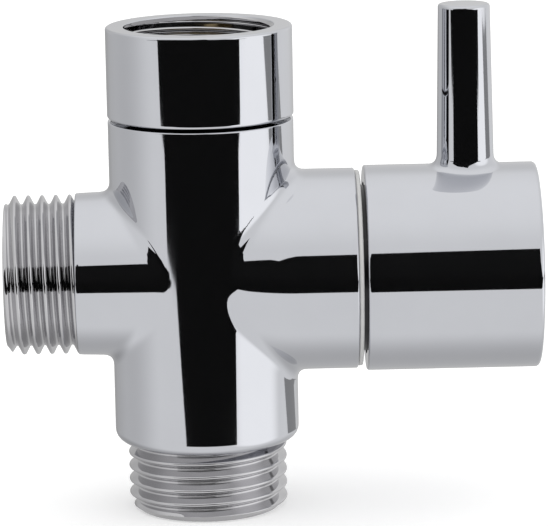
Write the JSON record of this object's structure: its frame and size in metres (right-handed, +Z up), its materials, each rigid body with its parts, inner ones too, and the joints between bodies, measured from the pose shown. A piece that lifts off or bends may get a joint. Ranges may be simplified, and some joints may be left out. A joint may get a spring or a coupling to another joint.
{
  "type": "shower tee valve",
  "caption": "Chromed shower tee valve: a swivel nut joins the supply above, threaded outlets leave below and at the side, and a lever knob shuts the side outlet.",
  "frame": {"origin": "centre of the inlet washer's upper face, where the supply pipe's end seats inside the swivel nut", "axes": "+Z up along the run and out of the inlet, +X along the valve's axis towards the handle, -Y towards the viewer"},
  "size_m": [0.0699, 0.027, 0.0664],
  "materials": {
    "polished_chrome": "polished chrome plate on brass and on the cast handle",
    "pale_plastic": "smooth pale plastic",
    "black_rubber": "matt black rubber",
    "turned_brass": "turned brass",
    "white_ceramic": "lapped white ceramic",
    "spring_steel": "plain spring steel"
  },
  "bodies": {
    "tee": {"valve_body": "polished_chrome", "nut_snap_ring": "spring_steel", "inlet_washer": "black_rubber", "headwork_body": "turned_brass", "headwork_o_ring": "black_rubber", "seat_seal": "black_rubber", "fixed_disc": "white_ceramic", "glide_ring": "pale_plastic"},
    "nut": {"inlet_nut": "polished_chrome"},
    "lever": {"handle": "polished_chrome", "handle_insert": "pale_plastic", "handle_set_screw": "spring_steel", "spindle": "turned_brass", "spindle_o_ring_inner": "black_rubber", "spindle_o_ring_outer": "black_rubber", "thrust_washer": "pale_plastic", "spindle_clip": "spring_steel", "moving_disc": "white_ceramic"}
  },
  "joints": [
    {"name": "lever_turn", "type": "hinge", "parent": "tee", "child": "lever", "pos_m": [0, 0, -0.02627], "axis": [1, 0, 0], "range_deg": [0, 90]},
    {"name": "nut_swivel", "type": "hinge", "parent": "tee", "child": "nut", "pos_m": [0, 0, 0], "axis": [0, 0, 1], "continuous": true}
  ]
}
